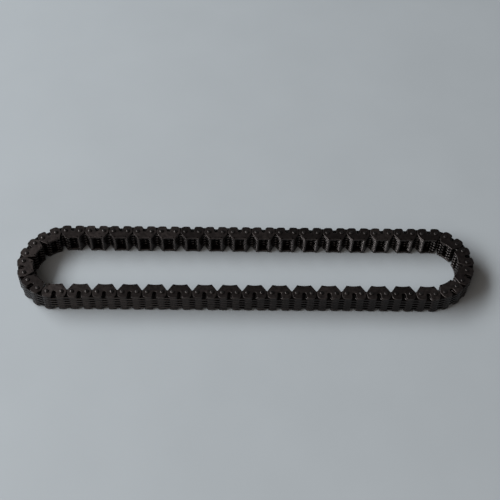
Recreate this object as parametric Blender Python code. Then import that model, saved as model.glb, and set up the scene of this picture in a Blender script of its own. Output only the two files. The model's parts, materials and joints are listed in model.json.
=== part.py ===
"""Silent drive chain: an endless loop of toothed links that lies on its side, pins upright.

Sizes are metres. The loop's centre stands over the origin, X runs along the two straight runs, and the
chain rests on its rivet heads at Z = 0. Joints are counted anticlockwise from the left end of the front
run. Link k lies between joint k and joint k + 1: even links are guide links, odd links are inner links.
"""
import math

import bmesh
import bpy
from mathutils import Matrix

# The loop
PITCH = 0.009525
RUN_PITCHES = 31
END_PITCHES = 9
END_BEND_SPREAD = math.radians(6.6)
RIGID_PITCHES = 11

# The plates, seen from the side of the chain
END_GAP = 0.00036
END_LEAN = math.radians(8)
BACK_DEPTH = 0.00515
BACK_CORNER = 0.0024
TOOTH_DEPTH = 0.0074
TIP_WIDTH = 0.0011
FLANK_ANGLE = math.radians(34)
CROTCH_WIDTH = 0.0021
GUIDE_EDGE_HOLLOW = 0.0007
SLOT_WIDTH = 0.0033
SLOT_DEPTH = 0.00565

# The rows of plates across the chain
PLATE_THICKNESS = 0.001524
ODD_ROWS = 2
EVEN_ROWS = 5
ROW_GAP = 0.0003

# The pins, their rivet heads and the windows that they rock in
PIN_THICKNESS = 0.00145
PIN_HEIGHT = 0.0026
ROCKER_GAP = 0.0003
WINDOW_CLEARANCE = 0.00033
HEAD_DIAMETER = 0.0035
HEAD_HEIGHT = 0.00075
HEAD_SIDES = 6

# How finely the curves are cut
LOBE_STEPS = 1
CORNER_STEPS = 1
SLOT_STEPS = 3

# Places that follow from the sizes above
LOBE_RADIUS = (PITCH - END_GAP) / 2
TIP_OUTER = PITCH / 2 + (LOBE_RADIUS - TOOTH_DEPTH * math.sin(FLANK_ANGLE)) / math.cos(FLANK_ANGLE)
TIP_INNER = TIP_OUTER - TIP_WIDTH
CROTCH_ROOT = TOOTH_DEPTH - (TIP_INNER - CROTCH_WIDTH / 2) / math.tan(FLANK_ANGLE)
SLOT_CENTRE = SLOT_DEPTH - BACK_DEPTH - SLOT_WIDTH / 2
PIN_OFFSET = (ROCKER_GAP + PIN_THICKNESS) / 2
PIN_REACH = math.hypot(PIN_OFFSET, PIN_HEIGHT / 2)

GUIDE_BOTTOM = HEAD_HEIGHT
ODD_BOTTOM = GUIDE_BOTTOM + PLATE_THICKNESS
EVEN_BOTTOM = ODD_BOTTOM + ODD_ROWS * PLATE_THICKNESS
EVEN_TOP = EVEN_BOTTOM + EVEN_ROWS * PLATE_THICKNESS
ODD_TOP = EVEN_TOP + ODD_ROWS * PLATE_THICKNESS
GUIDE_TOP = ODD_TOP + PLATE_THICKNESS
CHAIN_WIDTH = GUIDE_TOP + HEAD_HEIGHT

HALF_LOOP = RUN_PITCHES + END_PITCHES
LOOP_PITCHES = 2 * HALF_LOOP
END_JOINTS = END_PITCHES + 1
RIGID_FIRST = (RUN_PITCHES - RIGID_PITCHES) // 2
RIGID_LAST = RIGID_FIRST + RIGID_PITCHES - 1

GUIDE_STEEL = (0.036, 0.032, 0.029)
INNER_STEEL = (0.028, 0.026, 0.025)


def clear_scene():
    """Remove every object that the file opened with."""
    for old in list(bpy.data.objects):
        bpy.data.objects.remove(old, do_unlink=True)


def new_collection(name):
    """Make a collection in the scene."""
    collection = bpy.data.collections.new(name)
    bpy.context.scene.collection.children.link(collection)
    return collection


def steel(name, colour, roughness):
    """Make a dark oiled steel."""
    material = bpy.data.materials.new(name)
    material.use_nodes = True
    shader = material.node_tree.nodes["Principled BSDF"]
    shader.inputs["Base Color"].default_value = (*colour, 1.0)
    shader.inputs["Metallic"].default_value = 0.9
    shader.inputs["Roughness"].default_value = roughness
    return material


def plate_end():
    """Points of a plate's right-hand end: a lobe about the joint, then a lean in to the corner of its flat back."""
    points = []
    for step in range(LOBE_STEPS + 1):
        angle = FLANK_ANGLE * (1 - step / LOBE_STEPS)
        points.append((PITCH / 2 + LOBE_RADIUS * math.cos(angle), LOBE_RADIUS * math.sin(angle)))
    turn = math.pi / 2 - END_LEAN
    centre_x = PITCH / 2 + LOBE_RADIUS - BACK_DEPTH * math.tan(END_LEAN) - BACK_CORNER * math.tan(turn / 2)
    centre_y = BACK_CORNER - BACK_DEPTH
    for step in range(CORNER_STEPS + 1):
        angle = END_LEAN + turn * step / CORNER_STEPS
        points.append((centre_x + BACK_CORNER * math.cos(angle), centre_y - BACK_CORNER * math.sin(angle)))
    return points


def mirrored(right_half):
    """Close an outline from its right half, which runs from the tooth side to the back."""
    left_half = [(-x, y) for x, y in reversed(right_half) if x > 0]
    return right_half + left_half


def toothed_outline():
    """A toothed plate: two toes with a crotch between them, round ends and a flat back."""
    toe = [(CROTCH_WIDTH / 2, CROTCH_ROOT), (TIP_INNER, TOOTH_DEPTH), (TIP_OUTER, TOOTH_DEPTH)]
    return mirrored(toe + plate_end())


def guide_outline():
    """A guide plate: a hollow edge on the tooth side, two lobes and a slot open to the back."""
    edge = [(0.0, TOOTH_DEPTH - GUIDE_EDGE_HOLLOW), (TIP_OUTER, TOOTH_DEPTH)]
    slot = [(SLOT_WIDTH / 2, -BACK_DEPTH)]
    for step in range((SLOT_STEPS + 1) // 2):
        angle = math.pi * step / SLOT_STEPS
        slot.append((SLOT_WIDTH / 2 * math.cos(angle), SLOT_CENTRE + SLOT_WIDTH / 2 * math.sin(angle)))
    return mirrored(edge + plate_end() + slot)


def window_outline(side):
    """The opening beside a joint where the neighbour's pin rocks on this plate's short rocker."""
    near = PITCH / 2 + ROCKER_GAP / 2
    far = PITCH / 2 - ROCKER_GAP / 2 - PIN_THICKNESS - WINDOW_CLEARANCE
    half_height = PIN_REACH + WINDOW_CLEARANCE
    corners = [(near, -half_height), (near, half_height), (far, half_height), (far, -half_height)]
    return [(side * x, y) for x, y in corners]


def pin_outline(side):
    """A rocker pin's lens-shaped section, just past the joint on its own link's far side."""
    centre = PITCH / 2 + PIN_OFFSET
    half = PIN_THICKNESS / 2
    corners = [(centre - half, 0.0), (centre, -PIN_HEIGHT / 2), (centre + half, 0.0), (centre, PIN_HEIGHT / 2)]
    return [(side * x, y) for x, y in corners]


def head_outline(side):
    """A rivet head, round the end of a pin."""
    centre = side * (PITCH / 2 + PIN_OFFSET)
    points = []
    for corner in range(HEAD_SIDES):
        angle = math.tau * (corner + 0.5) / HEAD_SIDES
        points.append((centre + HEAD_DIAMETER / 2 * math.cos(angle), HEAD_DIAMETER / 2 * math.sin(angle)))
    return points


def slab(outlines, bottom, top, shift):
    """A flat piece between two heights, from an outline and any openings in it, moved along the chain."""
    curve = bpy.data.curves.new("slab", "CURVE")
    curve.dimensions = "2D"
    curve.fill_mode = "BOTH"
    curve.extrude = (top - bottom) / 2
    for outline in outlines:
        spline = curve.splines.new("POLY")
        spline.points.add(len(outline) - 1)
        spline.use_cyclic_u = True
        for point, (x, y) in zip(spline.points, outline):
            point.co = (x + shift, y, 0.0, 1.0)
    holder = bpy.data.objects.new("slab", curve)
    bpy.context.scene.collection.objects.link(holder)
    bpy.context.view_layer.update()
    mesh = bpy.data.meshes.new_from_object(holder.evaluated_get(bpy.context.evaluated_depsgraph_get()))
    bpy.data.objects.remove(holder, do_unlink=True)
    bpy.data.curves.remove(curve)
    for vertex in mesh.vertices:
        vertex.co.z = top if vertex.co.z > 0 else bottom
    work = bmesh.new()
    work.from_mesh(mesh)
    bmesh.ops.remove_doubles(work, verts=work.verts, dist=1e-6)
    bmesh.ops.recalc_face_normals(work, faces=work.faces)
    work.to_mesh(mesh)
    work.free()
    piece = bpy.data.objects.new("slab", mesh)
    bpy.context.scene.collection.objects.link(piece)
    return piece


def united(name, pieces, material):
    """Join overlapping or touching pieces into one mesh, merge its flat faces and give it its steel."""
    body = pieces[0]
    for piece in pieces[1:]:
        union = body.modifiers.new("union", "BOOLEAN")
        union.operation = "UNION"
        union.solver = "EXACT"
        union.object = piece
    bpy.context.view_layer.update()
    mesh = bpy.data.meshes.new_from_object(body.evaluated_get(bpy.context.evaluated_depsgraph_get()))
    mesh.name = name
    for piece in pieces:
        bpy.data.objects.remove(piece, do_unlink=True)
    work = bmesh.new()
    work.from_mesh(mesh)
    bmesh.ops.remove_doubles(work, verts=work.verts, dist=1e-6)
    bmesh.ops.dissolve_limit(work, angle_limit=math.radians(0.5), verts=work.verts, edges=work.edges)
    work.to_mesh(mesh)
    work.free()
    mesh.shade_smooth()
    mesh.set_sharp_from_angle(angle=math.radians(45))
    mesh.materials.append(material)
    return mesh


def guide_pieces(shift):
    """The guide plates, odd-row plates, long pins and rivet heads of one guide link."""
    pieces = [
        slab([guide_outline()], GUIDE_BOTTOM, ODD_BOTTOM, shift),
        slab([toothed_outline()], ODD_BOTTOM, EVEN_BOTTOM - ROW_GAP / 2, shift),
        slab([guide_outline()], ODD_TOP, GUIDE_TOP, shift),
        slab([toothed_outline()], EVEN_TOP + ROW_GAP / 2, ODD_TOP, shift),
    ]
    pin_end = HEAD_HEIGHT / 2
    head_root = HEAD_HEIGHT + PLATE_THICKNESS / 2
    for side in (-1, 1):
        pieces.append(slab([pin_outline(side)], pin_end, CHAIN_WIDTH - pin_end, shift))
        pieces.append(slab([head_outline(side)], 0.0, head_root, shift))
        pieces.append(slab([head_outline(side)], CHAIN_WIDTH - head_root, CHAIN_WIDTH, shift))
    return pieces


def inner_piece(shift, windows):
    """The even-row plates of one inner link, with a window beside each joint that rocks."""
    outlines = [toothed_outline()]
    if windows:
        outlines += [window_outline(-1), window_outline(1)]
    return slab(outlines, EVEN_BOTTOM + ROW_GAP / 2, EVEN_TOP - ROW_GAP / 2, shift)


def rigid_run():
    """The middle of a straight run, whose links are held together by their pins as one piece."""
    pieces = []
    for place in range(RIGID_PITCHES):
        shift = (place + 0.5) * PITCH
        if (RIGID_FIRST + place) % 2 == 0:
            pieces += guide_pieces(shift)
        else:
            pieces.append(inner_piece(shift, windows=False))
    return pieces


def bend(joint):
    """The angle that the chain turns through at a joint at rest: most where each end meets its next run."""
    place = (joint - 1) % HALF_LOOP + 1
    if place < RUN_PITCHES:
        return 0.0
    along_end = (place - RUN_PITCHES) / END_PITCHES - 0.5
    return math.pi / END_JOINTS + END_BEND_SPREAD * along_end


def loop_joints():
    """Each joint's place and the direction of the link that leaves it, with the loop centred."""
    places = []
    x = y = direction = 0.0
    for joint in range(LOOP_PITCHES):
        if joint:
            direction += bend(joint)
        places.append((x, y, direction))
        x += PITCH * math.cos(direction)
        y += PITCH * math.sin(direction)
    middle_x = sum(place[0] for place in places) / LOOP_PITCHES
    middle_y = sum(place[1] for place in places) / LOOP_PITCHES
    return [(x - middle_x, y - middle_y, direction) for x, y, direction in places]


def link_name(link):
    """The name of the object that holds a link."""
    place = link % HALF_LOOP
    if RIGID_FIRST <= place <= RIGID_LAST:
        return "front_run_middle" if link < HALF_LOOP else "back_run_middle"
    kind = "inner" if link % 2 else "guide"
    return f"{kind}_link_{link // 2 + 1:02d}"


def hang_link(link, hinge_joint, mesh, before, joints, collection):
    """Put a link's object on its hinge at rest, and hang it on the link before it."""
    x, y, _ = joints[hinge_joint % LOOP_PITCHES]
    direction = joints[link % LOOP_PITCHES][2]
    rest = Matrix.Translation((x, y, 0.0)) @ Matrix.Rotation(direction, 4, "Z")
    thing = bpy.data.objects.new(link_name(link % LOOP_PITCHES), mesh)
    collection.objects.link(thing)
    if before is not None:
        thing.parent, before_rest = before
        thing.matrix_parent_inverse = before_rest.inverted()
    thing.matrix_basis = rest
    return thing, rest


def build():
    """Model the loop: one object for each link, and one for the middle of each run."""
    clear_scene()
    collection = new_collection("drive_chain")
    guide_steel = steel("guide_link_steel", GUIDE_STEEL, 0.42)
    inner_steel = steel("inner_link_steel", INNER_STEEL, 0.5)
    joints = loop_joints()

    middle = united("rigid_run", rigid_run(), guide_steel)
    after_hinge = [
        united("guide_link_after_hinge", guide_pieces(PITCH / 2), guide_steel),
        united("inner_link_after_hinge", [inner_piece(PITCH / 2, windows=True)], inner_steel),
    ]
    before_hinge = [
        united("guide_link_before_hinge", guide_pieces(-PITCH / 2), guide_steel),
        united("inner_link_before_hinge", [inner_piece(-PITCH / 2, windows=True)], inner_steel),
    ]

    front_middle = hang_link(RIGID_FIRST, RIGID_FIRST, middle, None, joints, collection)
    back_first = RIGID_FIRST + HALF_LOOP

    before = front_middle
    for link in range(RIGID_LAST + 1, back_first):
        before = hang_link(link, link, after_hinge[link % 2], before, joints, collection)
    hang_link(back_first, back_first, middle, before, joints, collection)

    before = front_middle
    for link in range(RIGID_FIRST - 1, RIGID_LAST - HALF_LOOP, -1):
        before = hang_link(link, link + 1, before_hinge[link % 2], before, joints, collection)


build()
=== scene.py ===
"""Looks of the silent drive chain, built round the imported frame.

Each link is remade with all of its plates: eleven rows across the chain, two rocker pins at every joint and
riveted heads. Lengths are metres. A link's own frame has X along the chain, Y to the tooth side inside the
loop and Z across the chain, with the middle of its pitch at X = 0.
"""
import json
import math
import random

import bmesh
import bpy
import numpy as np
from mathutils import Matrix, Vector


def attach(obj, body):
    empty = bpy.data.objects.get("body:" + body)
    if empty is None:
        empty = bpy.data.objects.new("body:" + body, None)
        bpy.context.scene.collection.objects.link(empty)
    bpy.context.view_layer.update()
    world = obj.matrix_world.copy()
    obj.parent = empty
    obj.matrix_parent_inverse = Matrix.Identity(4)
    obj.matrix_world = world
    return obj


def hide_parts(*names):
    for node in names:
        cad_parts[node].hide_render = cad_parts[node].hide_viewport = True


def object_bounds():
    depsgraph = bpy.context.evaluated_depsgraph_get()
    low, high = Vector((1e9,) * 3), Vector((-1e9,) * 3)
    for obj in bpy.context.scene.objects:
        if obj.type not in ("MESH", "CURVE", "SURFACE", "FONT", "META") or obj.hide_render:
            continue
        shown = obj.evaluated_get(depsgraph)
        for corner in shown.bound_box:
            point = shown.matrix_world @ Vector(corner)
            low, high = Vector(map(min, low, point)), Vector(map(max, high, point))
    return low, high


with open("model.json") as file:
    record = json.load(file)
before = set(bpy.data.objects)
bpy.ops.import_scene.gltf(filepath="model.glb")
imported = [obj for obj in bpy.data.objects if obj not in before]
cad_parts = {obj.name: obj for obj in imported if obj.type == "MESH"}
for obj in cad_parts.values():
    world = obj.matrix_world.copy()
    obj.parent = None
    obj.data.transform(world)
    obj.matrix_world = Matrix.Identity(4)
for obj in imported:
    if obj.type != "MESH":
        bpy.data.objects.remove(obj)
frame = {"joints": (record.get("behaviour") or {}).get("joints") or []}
cad_low, cad_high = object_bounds()

# The loop
LOOP_PITCHES = 80
HALF_LOOP = LOOP_PITCHES // 2
RIGID_FIRST = 10
RIGID_LAST = 20
SIDES = (-1, 1)

# The plates, seen from the side of the chain
END_GAP = 0.00036
END_LEAN = math.radians(8)
BACK_DEPTH = 0.00515
BACK_CORNER = 0.0028
TOOTH_DEPTH = 0.0074
TIP_WIDTH = 0.0011
TIP_ROUNDING = 0.0002
GUIDE_TIP_ROUNDING = 0.0004
FLANK_ANGLE = math.radians(34)
CROTCH_WIDTH = 0.0021
GUIDE_EDGE_HOLLOW = 0.0007
SLOT_WIDTH = 0.0033
SLOT_DEPTH = 0.00565
SLOT_MOUTH_ROUNDING = 0.0016
EDGE_ROUNDING = 0.00017

# The dimples punched into the guide plates, with the foot as a share of the mouth
DIMPLE_DIAMETER = 0.00115
DIMPLE_DEPTH = 0.0009
DIMPLE_INSET = 0.0013
DIMPLE_FOOT = 0.8

# The rows of plates across the chain
ROWS = 11
ROW_CLEARANCE = 0.00004

# The pins and the windows that they rock in
PIN_THICKNESS = 0.00145
PIN_HEIGHT = 0.0026
ROCKER_GAP = 0.0003
WINDOW_CLEARANCE = 0.00033
WINDOW_RELIEF = 0.0004

# The rivet heads, with the profile of their domes in shares of their radius and height
HEAD_DIAMETER = 0.0035
HEAD_HEIGHT = 0.00075
HEAD_PROFILE = (
    (0.97, -0.2),
    (1.0, 0.12),
    (0.94, 0.45),
    (0.78, 0.75),
    (0.55, 0.93),
    (0.30, 1.0),
    (0.14, 0.97),
    (0.0, 0.94),
)

# How a head sits on its pin: how far it and the shaft reach in rows, and its neck as a share of its diameter
STUB_ROWS = 0.6
SHAFT_INSET_ROWS = 0.5
NECK_SHARE = 0.3

# How finely the shapes are cut
LOBE_STEPS = 4
CORNER_STEPS = 6
TIP_STEPS = 2
ROOT_STEPS = 5
HOLLOW_STEPS = 6
SLOT_STEPS = 4
MOUTH_STEPS = 4
PIN_STEPS = 6
HEAD_SIDES = 20
DIMPLE_SIDES = 12
FLOOR_SIDES = 96
WELD_DISTANCE = 2e-6
MIDLINE_WIDTH = 1e-7
CRISP_ANGLE = math.radians(40)

# The colours, as the shader reads them
PLATE_DARK = (0.0220, 0.0172, 0.0160)
PLATE_LIGHT = (0.0545, 0.0425, 0.0390)
# The toothed rows are darker than the guide plates: painted shade on the chain's walls and in its crotches,
# which these rows make
TOOTHED_DARK = (0.0095, 0.0074, 0.0068)
TOOTHED_LIGHT = (0.0225, 0.0176, 0.0162)
PIN_DARK = (0.019, 0.016, 0.015)
PIN_LIGHT = (0.044, 0.038, 0.036)
# The pale worn steel, which also paints highlights on the rims, the toe tips and the broken edges
WORN_STEEL_AND_HIGHLIGHT = (0.215, 0.190, 0.182)
FLOOR_COLOUR = (0.430, 0.453, 0.474)

# The steel's wear and painted highlight: on the rims of the plates, lighter towards their upper edges, on the
# tips of their toes and on broken edges
RIM_SPAN = (0.06, 0.94)
RIM_WEAR_AND_HIGHLIGHT = 0.18
TOE_WEAR_AND_HIGHLIGHT = 0.2
TOE_WEAR_AND_HIGHLIGHT_START = 0.00025
TOE_WEAR_AND_HIGHLIGHT_FULL = 0.00003
SLANT_SCALE = 4.0
WORN_GLOSS = 0.12

# The steel's mottle, streaks and grain: how fine, how rich, and how they show in colour, gloss and relief
PLATE_SHIFT = (3.1, 1.7)
MOTTLE_SCALE = 420.0
MOTTLE_DETAIL = 5.0
MOTTLE_SPAN = (0.34, 0.66)
DARKEST_PLATE = 0.35
STREAK_STRETCH = (1.0, 1.0, 0.04)
STREAK_SCALE = 5200.0
STREAK_DETAIL = 2.0
STREAK_POLISH_AND_HIGHLIGHT = (0.55, 1.1)
STREAK_RELIEF = 0.6
GRAIN_SCALE = 2600.0
GRAIN_DETAIL = 3.0
GRAIN_ROUGHNESS = (-0.07, 0.09)
DULLEST_PLATE = 0.06
NOISE_SPAN = (0.3, 0.7)
BUMP_STRENGTH = 0.35
BUMP_DEPTH = 0.00003

# The floor
FLOOR_RADIUS = 4.0
FLOOR_ROUGHNESS = 0.6
FLOOR_GLOSS = 0.2
CLOUD_SCALE = 14.0
CLOUD_DETAIL = 4.0
CLOUD_LIFT = 1.04

# The view, fitted to the places of the pins in the photograph
VIEW_AZIMUTH = math.radians(2.135)
VIEW_ELEVATION = math.radians(51.787)
VIEW_ROLL = math.radians(2.195)
VIEW_DISTANCE = 0.7615
VIEW_TARGET = Vector((0.00287, 0.02520, 0.0))
SENSOR_MM = 36.0
LENS_MM = 67.33
NEAREST_SEEN = 0.01
FARTHEST_SEEN = 20.0

# The light
KEY_PLACE = Vector((-2.46, 0.35, 2.01))
KEY_LENGTH = 4.2
KEY_HEIGHT = 1.3
KEY_POWER = 161.0
KEY_COLOUR = (0.92, 0.97, 1.0)
FILL_PLACE = Vector((-0.60, -1.14, 1.53))
FILL_SIZE = 1.5
FILL_POWER = 7.0
FILL_COLOUR = (1.0, 0.93, 0.86)
WARM_COLOUR = (1.0, 0.84, 0.72)
SKY_STRENGTH = 0.04
BACKDROP_COLOUR = (0.130, 0.137, 0.143)


def joint_places():
    """Every joint's place, by number, spaced evenly between the hinges of a run's rigid middle."""
    known = {}
    for joint in frame["joints"]:
        known[int(joint["name"].split("_")[1]) % LOOP_PITCHES] = Vector(joint["pos_m"])
    places = []
    for number in range(LOOP_PITCHES):
        before = number
        while before % LOOP_PITCHES not in known:
            before -= 1
        after = number
        while after % LOOP_PITCHES not in known:
            after += 1
        share = (number - before) / max(after - before, 1)
        places.append(known[before % LOOP_PITCHES].lerp(known[after % LOOP_PITCHES], share))
    return places


JOINTS = joint_places()
PITCH = (JOINTS[2] - JOINTS[1]).length
LOBE_RADIUS = (PITCH - END_GAP) / 2
TIP_OUTER = PITCH / 2 + (LOBE_RADIUS - TOOTH_DEPTH * math.sin(FLANK_ANGLE)) / math.cos(FLANK_ANGLE)
TIP_INNER = TIP_OUTER - TIP_WIDTH
CROTCH_ROOT = TOOTH_DEPTH - (TIP_INNER - CROTCH_WIDTH / 2) / math.tan(FLANK_ANGLE)
SLOT_CENTRE = SLOT_DEPTH - BACK_DEPTH - SLOT_WIDTH / 2
PIN_OFFSET = (ROCKER_GAP + PIN_THICKNESS) / 2
PIN_REACH = math.hypot(PIN_OFFSET, PIN_HEIGHT / 2)
ROW_PITCH = (cad_high.z - cad_low.z - 2 * HEAD_HEIGHT) / ROWS
FIRST_ROW = cad_low.z + HEAD_HEIGHT


def arc(centre, radius, first, last, steps):
    """Points along an arc, both ends included."""
    points = []
    for step in range(steps + 1):
        angle = first + (last - first) * step / steps
        points.append((centre[0] + radius * math.cos(angle), centre[1] + radius * math.sin(angle)))
    return points


def rounded(before, corner, after, radius, steps):
    """The arc that rounds a corner between two straight edges."""
    corner = Vector(corner)
    back = (Vector(before) - corner).normalized()
    on = (Vector(after) - corner).normalized()
    half = back.angle(on) / 2
    middle = corner + (back + on).normalized() * (radius / math.sin(half))
    start = corner + back * (radius / math.tan(half)) - middle
    end = corner + on * (radius / math.tan(half)) - middle
    first = math.atan2(start.y, start.x)
    turn = (math.atan2(end.y, end.x) - first + math.pi) % math.tau - math.pi
    return arc(middle, radius, first, first + turn, steps)


def mirrored(right_half):
    """Close an outline from its right half, which runs from the tooth side to the back."""
    left_half = [(-x, y) for x, y in reversed(right_half) if x > MIDLINE_WIDTH]
    return right_half + left_half


def flank_foot():
    """Where the flank runs tangent into the round end."""
    return arc((PITCH / 2, 0.0), LOBE_RADIUS, FLANK_ANGLE, FLANK_ANGLE, 1)[0]


def plate_end():
    """A plate's right-hand end: a lobe about the joint, then a lean in to the corner of its flat back."""
    turn = math.pi / 2 - END_LEAN
    centre_x = PITCH / 2 + LOBE_RADIUS - BACK_DEPTH * math.tan(END_LEAN) - BACK_CORNER * math.tan(turn / 2)
    centre = (centre_x, BACK_CORNER - BACK_DEPTH)
    lobe = arc((PITCH / 2, 0.0), LOBE_RADIUS, FLANK_ANGLE, 0.0, LOBE_STEPS)
    return lobe + arc(centre, BACK_CORNER, -END_LEAN, -math.pi / 2, CORNER_STEPS)


def toothed_outline():
    """A toothed plate: two toes with a round crotch between them, round ends and a flat back."""
    tip_in = (TIP_INNER, TOOTH_DEPTH)
    tip_out = (TIP_OUTER, TOOTH_DEPTH)
    crotch = (CROTCH_WIDTH / 2, CROTCH_ROOT)
    root_radius = CROTCH_WIDTH / 2 * math.cos(FLANK_ANGLE) / (1 - math.sin(FLANK_ANGLE))
    half = arc((0.0, CROTCH_ROOT + root_radius), root_radius, -math.pi / 2, -FLANK_ANGLE, ROOT_STEPS)
    half += rounded(crotch, tip_in, tip_out, TIP_ROUNDING, TIP_STEPS)
    half += rounded(tip_in, tip_out, flank_foot(), TIP_ROUNDING, TIP_STEPS)
    return mirrored(half + plate_end())


def guide_outline():
    """A guide plate: a hollow edge on the tooth side, two lobes and a slot open to the back."""
    half = []
    for step in range(HOLLOW_STEPS):
        share = step / HOLLOW_STEPS
        half.append((share * TIP_OUTER, TOOTH_DEPTH - GUIDE_EDGE_HOLLOW * (1 - share * share)))
    half += rounded(half[-1], (TIP_OUTER, TOOTH_DEPTH), flank_foot(), GUIDE_TIP_ROUNDING, TIP_STEPS)
    half += plate_end()
    mouth = (SLOT_WIDTH / 2 + SLOT_MOUTH_ROUNDING, SLOT_MOUTH_ROUNDING - BACK_DEPTH)
    half += arc(mouth, SLOT_MOUTH_ROUNDING, -math.pi / 2, -math.pi, MOUTH_STEPS)
    half += arc((0.0, SLOT_CENTRE), SLOT_WIDTH / 2, 0.0, math.pi / 2, SLOT_STEPS)
    return mirrored(half)


def window_outline(side):
    """The opening beside a joint where the neighbour's pin rocks on this plate's own pin."""
    near = PITCH / 2 + ROCKER_GAP / 2 + WINDOW_RELIEF
    far = PITCH / 2 - ROCKER_GAP / 2 - PIN_THICKNESS - WINDOW_CLEARANCE
    half_height = PIN_REACH + WINDOW_CLEARANCE
    corners = [(near, -half_height), (near, half_height), (far, half_height), (far, -half_height)]
    return [(side * x, y) for x, y in corners]


def pin_outline(side):
    """A rocker pin's lens-shaped section, whose two faces are arcs."""
    centre = side * (PITCH / 2 + PIN_OFFSET)
    half = PIN_THICKNESS / 2
    radius = (half**2 + (PIN_HEIGHT / 2) ** 2) / (2 * half)
    spread = math.asin(PIN_HEIGHT / 2 / radius)
    right = arc((centre + half - radius, 0.0), radius, -spread, spread, PIN_STEPS)
    left = arc((centre - half + radius, 0.0), radius, math.pi - spread, math.pi + spread, PIN_STEPS)
    return right + left[1:-1]


def in_scene(name, data):
    """A new object in the scene that holds a mesh, curve, lamp or camera."""
    holder = bpy.data.objects.new(name, data)
    bpy.context.scene.collection.objects.link(holder)
    return holder


def applied(holder):
    """The mesh that an object's curve or modifiers come to."""
    bpy.context.view_layer.update()
    return bpy.data.meshes.new_from_object(holder.evaluated_get(bpy.context.evaluated_depsgraph_get()))


def weld(work):
    """Merge the points that meet and turn the faces outwards."""
    bmesh.ops.remove_doubles(work, verts=work.verts, dist=WELD_DISTANCE)
    bmesh.ops.recalc_face_normals(work, faces=work.faces)


def slab(outlines, bottom, top, rounding):
    """A flat piece between two heights, from an outline and any openings in it, with its edges broken."""
    curve = bpy.data.curves.new("slab", "CURVE")
    curve.dimensions = "2D"
    curve.fill_mode = "BOTH"
    curve.extrude = (top - bottom) / 2 - rounding
    curve.bevel_depth = rounding
    curve.bevel_resolution = 0
    curve.offset = -rounding
    for outline in outlines:
        spline = curve.splines.new("POLY")
        spline.points.add(len(outline) - 1)
        spline.use_cyclic_u = True
        for point, (x, y) in zip(spline.points, outline):
            point.co = (x, y, 0.0, 1.0)
    holder = in_scene("slab", curve)
    mesh = applied(holder)
    bpy.data.objects.remove(holder, do_unlink=True)
    bpy.data.curves.remove(curve)
    mesh.transform(Matrix.Translation((0.0, 0.0, (bottom + top) / 2)))
    work = bmesh.new()
    work.from_mesh(mesh)
    weld(work)
    work.to_mesh(mesh)
    work.free()
    return mesh


def turned(profile, sides, centre):
    """A closed turned piece, from radii and heights that run up from its axis and back to it."""
    work = bmesh.new()
    points = [work.verts.new((radius, 0.0, height)) for radius, height in profile]
    edges = [work.edges.new(pair) for pair in zip(points, points[1:])]
    bmesh.ops.spin(
        work, geom=points + edges, cent=(0, 0, 0), axis=(0, 0, 1), angle=math.tau, steps=sides, use_merge=True
    )
    weld(work)
    bmesh.ops.translate(work, verts=work.verts, vec=centre)
    mesh = bpy.data.meshes.new("turned")
    work.to_mesh(mesh)
    work.free()
    return mesh


def boolean(mesh, others, operation):
    """A mesh joined with others, or cut by them."""
    holders = [in_scene("holder", part) for part in [mesh] + others]
    for other in holders[1:]:
        step = holders[0].modifiers.new("step", "BOOLEAN")
        step.operation = operation
        step.solver = "EXACT"
        step.object = other
    result = applied(holders[0])
    for holder in holders:
        bpy.data.objects.remove(holder, do_unlink=True)
    return result


def stacked(name, parts):
    """One mesh from several (mesh, height) pairs."""
    work = bmesh.new()
    for part, height in parts:
        start = len(work.verts)
        work.from_mesh(part)
        work.verts.ensure_lookup_table()
        bmesh.ops.translate(work, verts=work.verts[start:], vec=(0.0, 0.0, height))
    mesh = bpy.data.meshes.new(name)
    work.to_mesh(mesh)
    work.free()
    return mesh


def row_bottom(row):
    """The height of a row's lower face, rows counted from 0 at the floor."""
    return FIRST_ROW + row * ROW_PITCH


def plate_mesh(outlines):
    """A plate on Z = 0, a little thinner than its row."""
    return slab(outlines, ROW_CLEARANCE / 2, ROW_PITCH - ROW_CLEARANCE / 2, EDGE_ROUNDING)


def dimple_cutters():
    """Two punches that make a guide plate's dimples near the corners of its tooth side."""
    edge = DIMPLE_DIAMETER / 2
    foot = DIMPLE_FOOT * edge
    profile = [(0.0, -DIMPLE_DEPTH), (foot, -DIMPLE_DEPTH), (edge, 0.0), (edge, edge), (0.0, edge)]
    top = ROW_PITCH - ROW_CLEARANCE / 2
    places = [(side * TIP_INNER, TOOTH_DEPTH - DIMPLE_INSET, top) for side in SIDES]
    return [turned(profile, DIMPLE_SIDES, place) for place in places]


def head_profile():
    """A riveted head: a neck in its plate, then a low dome with a flattened crown."""
    edge = HEAD_DIAMETER / 2
    neck = HEAD_DIAMETER * NECK_SHARE
    stub = [(0.0, -STUB_ROWS * ROW_PITCH), (neck, -STUB_ROWS * ROW_PITCH), (neck, 0.0)]
    return stub + [(edge * out, up * HEAD_HEIGHT) for out, up in HEAD_PROFILE]


def long_pin(side):
    """A long rocker pin with its two riveted heads, as one solid."""
    inset = SHAFT_INSET_ROWS * ROW_PITCH
    shaft = slab([pin_outline(side)], row_bottom(0) + inset, row_bottom(ROWS) - inset, EDGE_ROUNDING)
    upper = turned(head_profile(), HEAD_SIDES, (side * (PITCH / 2 + PIN_OFFSET), 0.0, 0.0))
    lower = upper.copy()
    lower.transform(Matrix.Diagonal((1.0, 1.0, -1.0, 1.0)))
    lower.flip_normals()
    upper.transform(Matrix.Translation((0.0, 0.0, row_bottom(ROWS))))
    lower.transform(Matrix.Translation((0.0, 0.0, row_bottom(0))))
    return boolean(shaft, [upper, lower], "UNION")


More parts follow.
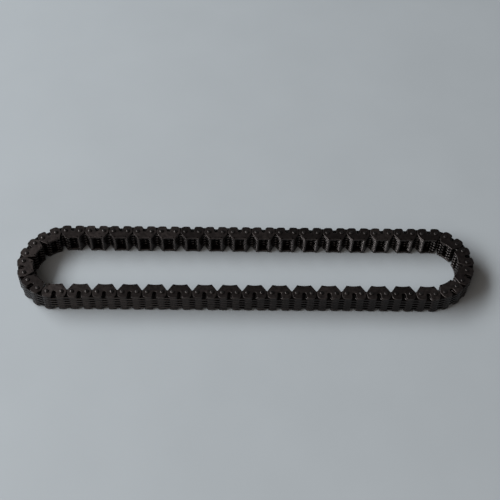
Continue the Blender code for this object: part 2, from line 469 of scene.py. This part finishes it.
def finished(name, parts, material):
    """Stack (mesh, height) pairs into one mesh with smooth round faces and crisp edges, in its steel."""
    mesh = stacked(name, parts)
    mesh.shade_smooth()
    mesh.set_sharp_from_angle(angle=CRISP_ANGLE)
    mesh.materials.clear()
    mesh.materials.append(material)
    return mesh


def wear_and_highlight_at(height):
    """How worn and how brightened by painted highlight a plate's rim is at a height: more towards its upper
    edge, and none on its faces.
    """
    in_row = ((height - FIRST_ROW) / ROW_PITCH) % 1.0
    on_rim = RIM_SPAN[0] < in_row < RIM_SPAN[1]
    return RIM_WEAR_AND_HIGHLIGHT * in_row if on_rim else 0.0


def paint(mesh, seed):
    """A copy of a mesh with each point's wear and painted highlight, and each plate's own tone."""
    copy = mesh.copy()
    points = np.empty(len(copy.vertices) * 3, np.float32)
    copy.vertices.foreach_get("co", points)
    points = points.reshape(-1, 3)
    wear_and_highlight = [wear_and_highlight_at(height) for height in points[:, 2]]
    draw = random.Random(seed)
    tones = [draw.random() for _ in range(ROWS + 2)]
    rows = np.clip(np.floor((points[:, 2] - FIRST_ROW) / ROW_PITCH), -1, ROWS).astype(int)
    # The wear attribute holds worn colour together with a painted highlight along the rims
    copy.attributes.new("wear_and_highlight", "FLOAT", "POINT").data.foreach_set("value", wear_and_highlight)
    copy.attributes.new("tone", "FLOAT", "POINT").data.foreach_set("value", [tones[row] for row in rows])
    return copy


def node(tree, kind, **settings):
    """Add a shader node and set its properties."""
    made = tree.nodes.new(kind)
    for name, value in settings.items():
        setattr(made, name, value)
    return made


def linked(tree, source, socket):
    """Join an output to an input."""
    tree.links.new(source, socket)


def noise(tree, place, scale, detail):
    """Fractal noise read at a place, from 0 to 1."""
    made = node(tree, "ShaderNodeTexNoise")
    made.inputs["Scale"].default_value = scale
    made.inputs["Detail"].default_value = detail
    linked(tree, place, made.inputs["Vector"])
    return made.outputs["Fac"]


def ranged(tree, value, low, high, to_low, to_high):
    """A value stretched from one range to another and held to its ends."""
    made = node(tree, "ShaderNodeMapRange")
    for name, number in (("From Min", low), ("From Max", high), ("To Min", to_low), ("To Max", to_high)):
        made.inputs[name].default_value = number
    linked(tree, value, made.inputs["Value"])
    return made.outputs["Result"]


def maths(tree, operation, first, second):
    """One sum on two values, each an output or a number."""
    made = node(tree, "ShaderNodeMath", operation=operation)
    for socket, value in zip(made.inputs, (first, second)):
        if isinstance(value, (int, float)):
            socket.default_value = value
        else:
            linked(tree, value, socket)
    return made.outputs["Value"]


def blended(tree, share, first, second):
    """A colour between two, each an output or a triple."""
    made = node(tree, "ShaderNodeMix", data_type="RGBA")
    linked(tree, share, made.inputs["Factor"])
    for socket, value in ((made.inputs["A"], first), (made.inputs["B"], second)):
        if isinstance(value, tuple):
            socket.default_value = (*value, 1.0)
        else:
            linked(tree, value, socket)
    return made.outputs["Result"]


def stretched(tree, place, scale):
    """Coordinates scaled by axis."""
    made = node(tree, "ShaderNodeMapping")
    made.inputs["Scale"].default_value = scale
    linked(tree, place, made.inputs["Vector"])
    return made.outputs["Vector"]


def split(tree, vector):
    """A vector's three parts."""
    made = node(tree, "ShaderNodeSeparateXYZ")
    linked(tree, vector, made.inputs["Vector"])
    return made.outputs


def new_material(name):
    """A material with its node tree and its shader."""
    material = bpy.data.materials.new(name)
    material.use_nodes = True
    return material, material.node_tree, material.node_tree.nodes["Principled BSDF"]


def shifted(tree, place, tone):
    """The place that the noise is read at, moved by a plate's tone so that no two plates are alike."""
    offset = node(tree, "ShaderNodeCombineXYZ")
    for axis, distance in zip("XY", PLATE_SHIFT):
        linked(tree, maths(tree, "MULTIPLY", tone, distance), offset.inputs[axis])
    moved = node(tree, "ShaderNodeVectorMath", operation="ADD")
    linked(tree, place, moved.inputs[0])
    linked(tree, offset.outputs["Vector"], moved.inputs[1])
    return moved.outputs["Vector"]


def toe_wear_and_highlight(tree, place, off_face):
    """The wear and painted highlight of the toes, only on the flat ends of their tips."""
    across = split(tree, place)["Y"]
    start = TOOTH_DEPTH - TOE_WEAR_AND_HIGHLIGHT_START
    full = TOOTH_DEPTH - TOE_WEAR_AND_HIGHLIGHT_FULL
    return maths(tree, "MULTIPLY", ranged(tree, across, start, full, 0.0, TOE_WEAR_AND_HIGHLIGHT), off_face)


def steel(name, dark, light, roughness, metallic, edge_wear_and_highlight, rim_wear_and_highlight, gloss_spread):
    """Dark stamped steel under oil: mottled faces, upright streaks on sheared walls, worn toes, and a painted
    highlight on the toes, rims and broken edges.
    """
    material, tree, shader = new_material(name)
    shader.inputs["Metallic"].default_value = metallic
    place = node(tree, "ShaderNodeTexCoord").outputs["Object"]
    tone = node(tree, "ShaderNodeAttribute", attribute_name="tone").outputs["Fac"]
    rim = node(tree, "ShaderNodeAttribute", attribute_name="wear_and_highlight").outputs["Fac"]
    here = shifted(tree, place, tone)

    mottle = ranged(tree, noise(tree, here, MOTTLE_SCALE, MOTTLE_DETAIL), *MOTTLE_SPAN, 0.0, 1.0)
    share = maths(tree, "MULTIPLY", mottle, ranged(tree, tone, 0.0, 1.0, DARKEST_PLATE, 1.0))
    streaks = noise(tree, stretched(tree, here, STREAK_STRETCH), STREAK_SCALE, STREAK_DETAIL)
    normal = node(tree, "ShaderNodeNewGeometry").outputs["Normal"]
    facing = split(tree, normal)["Z"]
    upright = maths(tree, "MULTIPLY", facing, facing)
    off_face = maths(tree, "SUBTRACT", 1.0, upright)
    slant = maths(tree, "MULTIPLY", upright, off_face)
    wear_and_highlight = maths(tree, "ADD", maths(tree, "MULTIPLY", rim, rim_wear_and_highlight), toe_wear_and_highlight(tree, place, off_face))
    # The slanted faces of the broken edges take worn colour as a painted highlight, besides real edge wear
    rubbed_and_highlight = maths(tree, "MAXIMUM", wear_and_highlight, maths(tree, "MULTIPLY", slant, SLANT_SCALE * edge_wear_and_highlight))
    polish_and_highlight = maths(tree, "MULTIPLY", rubbed_and_highlight, ranged(tree, streaks, *NOISE_SPAN, *STREAK_POLISH_AND_HIGHLIGHT))
    # Worn colour and painted highlight mixed into the steel's own mottled colour
    colour = blended(tree, polish_and_highlight, blended(tree, share, dark, light), WORN_STEEL_AND_HIGHLIGHT)
    linked(tree, colour, shader.inputs["Base Color"])

    grain = noise(tree, here, GRAIN_SCALE, GRAIN_DETAIL)
    roughnesses = [roughness + change for change in GRAIN_ROUGHNESS]
    rough = ranged(tree, grain, *NOISE_SPAN, *roughnesses)
    rough = maths(tree, "SUBTRACT", rough, maths(tree, "MULTIPLY", wear_and_highlight, WORN_GLOSS))
    rough = maths(tree, "ADD", rough, ranged(tree, tone, 0.0, 1.0, -gloss_spread, DULLEST_PLATE))
    linked(tree, rough, shader.inputs["Roughness"])
    bump = node(tree, "ShaderNodeBump")
    bump.inputs["Strength"].default_value = BUMP_STRENGTH
    bump.inputs["Distance"].default_value = BUMP_DEPTH
    relief = maths(tree, "ADD", grain, maths(tree, "MULTIPLY", streaks, STREAK_RELIEF))
    linked(tree, relief, bump.inputs["Height"])
    linked(tree, bump.outputs["Normal"], shader.inputs["Normal"])
    return material


def link_label(link):
    """The name of a link's pieces."""
    kind = "inner" if link % 2 else "guide"
    return f"{kind}_link_{link // 2 + 1:02d}"


def link_node(link):
    """The node, and the body, that a link belongs to."""
    if RIGID_FIRST <= link % HALF_LOOP <= RIGID_LAST:
        return "front_run_middle" if link < HALF_LOOP else "back_run_middle"
    return link_label(link)


def link_frame(link):
    """The rest matrix of a link, from the joints at its two ends."""
    start = JOINTS[link]
    end = JOINTS[(link + 1) % LOOP_PITCHES]
    middle = (start + end) / 2
    heading = end - start
    place = Matrix.Translation((middle.x, middle.y, 0.0))
    return place @ Matrix.Rotation(math.atan2(heading.y, heading.x), 4, "Z")


def add_piece(name, mesh, link):
    """Put one piece of a link on its body, in place of the link's node."""
    piece = in_scene(name, mesh)
    piece.matrix_world = link_frame(link)
    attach(piece, link_node(link))
    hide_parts(link_node(link))


def link_meshes():
    """The five shared meshes: guide plates, odd rows and long pins, then even rows and short pins."""
    guide_steel = steel(
        "guide_plate_steel", PLATE_DARK, PLATE_LIGHT,
        roughness=0.42, metallic=0.9, edge_wear_and_highlight=0.15, rim_wear_and_highlight=0.5, gloss_spread=0.08,
    )
    # Darker steel for the toothed rows, as painted shade on the walls and crotches
    toothed_steel = steel(
        "toothed_plate_steel", TOOTHED_DARK, TOOTHED_LIGHT,
        roughness=0.22, metallic=0.9, edge_wear_and_highlight=0.22, rim_wear_and_highlight=0.8, gloss_spread=0.06,
    )
    pin_steel = steel(
        "pin_steel", PIN_DARK, PIN_LIGHT,
        roughness=0.38, metallic=0.95, edge_wear_and_highlight=0.0, rim_wear_and_highlight=1.0, gloss_spread=0.2,
    )

    toothed = plate_mesh([toothed_outline(), window_outline(-1), window_outline(1)])
    guide = boolean(plate_mesh([guide_outline()]), dimple_cutters(), "DIFFERENCE")
    guide_below = guide.copy()
    guide_below.transform(Matrix.Translation((0, 0, ROW_PITCH)) @ Matrix.Diagonal((1, 1, -1, 1)))
    guide_below.flip_normals()

    guides = [(guide_below, row_bottom(0)), (guide, row_bottom(ROWS - 1))]
    odd_rows = [(toothed, row_bottom(row)) for row in range(2, ROWS - 1, 2)]
    even_rows = [(toothed, row_bottom(row)) for row in range(1, ROWS, 2)]
    pins = [(long_pin(side), 0.0) for side in SIDES]
    rocker_ends = row_bottom(1) + ROW_CLEARANCE, row_bottom(ROWS - 1) - ROW_CLEARANCE
    rockers = [(slab([pin_outline(side)], *rocker_ends, EDGE_ROUNDING), 0.0) for side in SIDES]

    guide_link = {
        "guide_plates": finished("guide_plates", guides, guide_steel),
        "inner_plates": finished("odd_row_plates", odd_rows, toothed_steel),
        "long_pins": finished("long_pins", pins, pin_steel),
    }
    inner_link = {
        "plates": finished("even_row_plates", even_rows, toothed_steel),
        "short_pins": finished("short_pins", rockers, pin_steel),
    }
    return guide_link, inner_link


def build_chain():
    """Model every link from the shared meshes, each copy with its own tones."""
    kinds = link_meshes()
    for link in range(LOOP_PITCHES):
        for part, mesh in kinds[link % 2].items():
            add_piece(f"{link_label(link)}_{part}", paint(mesh, link), link)


def floor_material():
    """A plain pale matt surface."""
    material, tree, shader = new_material("floor")
    place = node(tree, "ShaderNodeTexCoord").outputs["Object"]
    cloud = ranged(tree, noise(tree, place, CLOUD_SCALE, CLOUD_DETAIL), *NOISE_SPAN, 0.0, 1.0)
    paler = tuple(value * CLOUD_LIFT for value in FLOOR_COLOUR)
    linked(tree, blended(tree, cloud, FLOOR_COLOUR, paler), shader.inputs["Base Color"])
    shader.inputs["Roughness"].default_value = FLOOR_ROUGHNESS
    shader.inputs["Specular IOR Level"].default_value = FLOOR_GLOSS
    return material


def build_floor():
    """The surface that the chain lies on."""
    work = bmesh.new()
    bmesh.ops.create_circle(work, cap_ends=True, segments=FLOOR_SIDES, radius=FLOOR_RADIUS)
    mesh = bpy.data.meshes.new("floor")
    work.to_mesh(mesh)
    work.free()
    mesh.materials.append(floor_material())
    floor = in_scene("floor", mesh)
    floor.location.z = cad_low.z


def area_lamp(name, place, length, height, power, colour):
    """A soft lamp that faces the middle of the chain, with its length level."""
    lamp = bpy.data.lights.new(name, "AREA")
    lamp.shape = "RECTANGLE"
    lamp.size = length
    lamp.size_y = height
    lamp.energy = power
    lamp.color = colour
    holder = in_scene(name, lamp)
    holder.location = place
    holder.rotation_mode = "QUATERNION"
    holder.rotation_quaternion = (-place).to_track_quat("-Z", "Y")


def build_light():
    """A row of windows on the left, a weak lamp at the front, and a warm room behind a neutral backdrop."""
    area_lamp("key", KEY_PLACE, KEY_LENGTH, KEY_HEIGHT, KEY_POWER, KEY_COLOUR)
    area_lamp("fill", FILL_PLACE, FILL_SIZE, FILL_SIZE, FILL_POWER, FILL_COLOUR)
    world = bpy.data.worlds.new("sky")
    world.use_nodes = True
    tree = world.node_tree
    rays = node(tree, "ShaderNodeLightPath").outputs
    seen = maths(tree, "MAXIMUM", rays["Is Camera Ray"], rays["Is Glossy Ray"])
    seen = maths(tree, "MAXIMUM", seen, rays["Is Transmission Ray"])
    room = tuple(SKY_STRENGTH * value for value in WARM_COLOUR)
    linked(tree, blended(tree, seen, room, BACKDROP_COLOUR), tree.nodes["Background"].inputs["Color"])
    bpy.context.scene.world = world


def build_camera():
    """The photograph's view."""
    flat = math.cos(VIEW_ELEVATION)
    ahead = Vector((math.sin(VIEW_AZIMUTH) * flat, math.cos(VIEW_AZIMUTH) * flat, -math.sin(VIEW_ELEVATION)))
    level_right = Vector((math.cos(VIEW_AZIMUTH), -math.sin(VIEW_AZIMUTH), 0.0))
    level_up = level_right.cross(ahead)
    right = math.cos(VIEW_ROLL) * level_right + math.sin(VIEW_ROLL) * level_up
    up = -math.sin(VIEW_ROLL) * level_right + math.cos(VIEW_ROLL) * level_up
    data = bpy.data.cameras.new("camera")
    data.sensor_width = SENSOR_MM
    data.lens = LENS_MM
    data.clip_start = NEAREST_SEEN
    data.clip_end = FARTHEST_SEEN
    camera = in_scene("camera", data)
    turn = Matrix((right, up, -ahead)).transposed().to_4x4()
    camera.matrix_world = Matrix.Translation(VIEW_TARGET - ahead * VIEW_DISTANCE) @ turn
    bpy.context.scene.camera = camera


build_chain()
build_floor()
build_light()
build_camera()
bpy.context.scene.view_settings.view_transform = "Standard"
